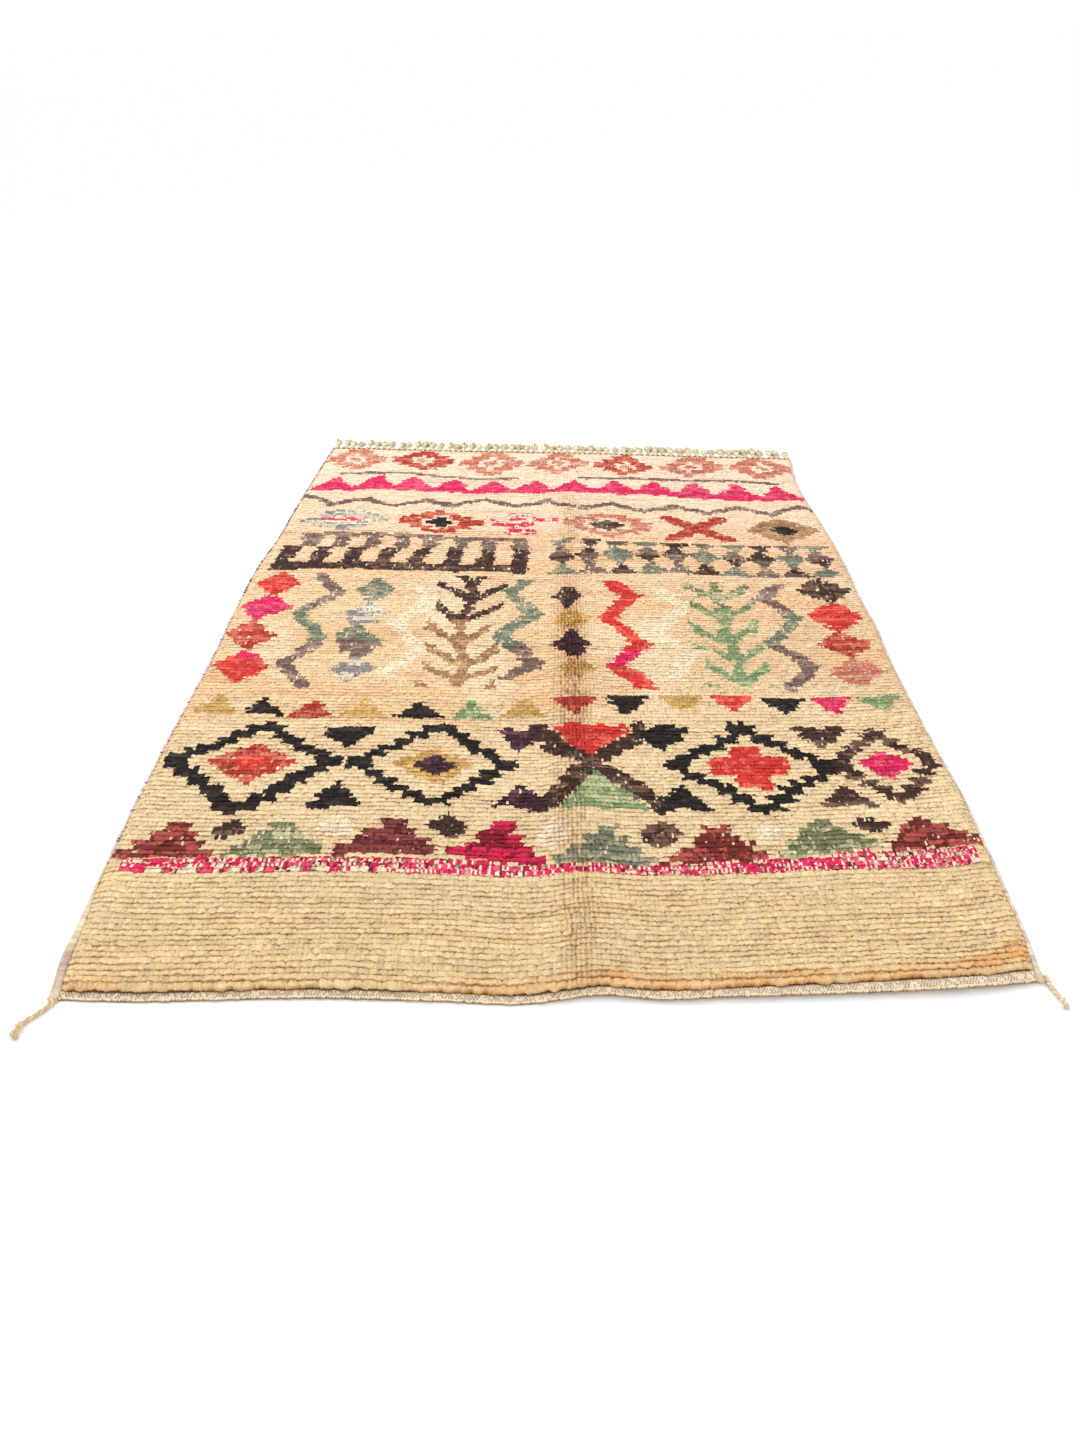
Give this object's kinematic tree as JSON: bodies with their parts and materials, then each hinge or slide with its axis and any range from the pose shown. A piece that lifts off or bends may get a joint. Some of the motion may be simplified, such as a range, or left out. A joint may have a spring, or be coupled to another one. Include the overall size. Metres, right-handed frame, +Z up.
{
  "type": "moroccan rug",
  "caption": "Hand-knotted wool pile rug lying flat, with a flat-woven near end, wrapped selvedges, a knotted fringe at the far end and twisted corner ties.",
  "frame": {"origin": "on the floor, at the middle of the rug and its fringe", "axes": "+Y along the rug from the flat-woven near end to the fringe, +X across to the right, +Z up from the floor through the pile"},
  "size_m": [1.7929, 2.8891, 0.0205],
  "materials": {
    "pile_wool": "deep knotted wool pile, matte",
    "end_wool": "flat-woven undyed wool, matte",
    "selvedge_wool": "wool wrapped over the edge warps, mixed colours, matte",
    "twined_wool": "two-colour twined wool, matte",
    "fringe_wool": "knotted undyed warp ends, matte",
    "tie_wool": "two-ply twisted undyed wool, matte"
  },
  "bodies": {
    "root": {"rug_pile": "pile_wool", "near_end_strip": "end_wool", "left_selvedge": "selvedge_wool", "right_selvedge": "selvedge_wool", "far_end_cord": "twined_wool", "fringe": "fringe_wool", "left_corner_tie": "tie_wool", "left_tie_tassel": "tie_wool", "right_corner_tie": "tie_wool", "right_tie_tassel": "tie_wool"}
  },
  "joints": []
}
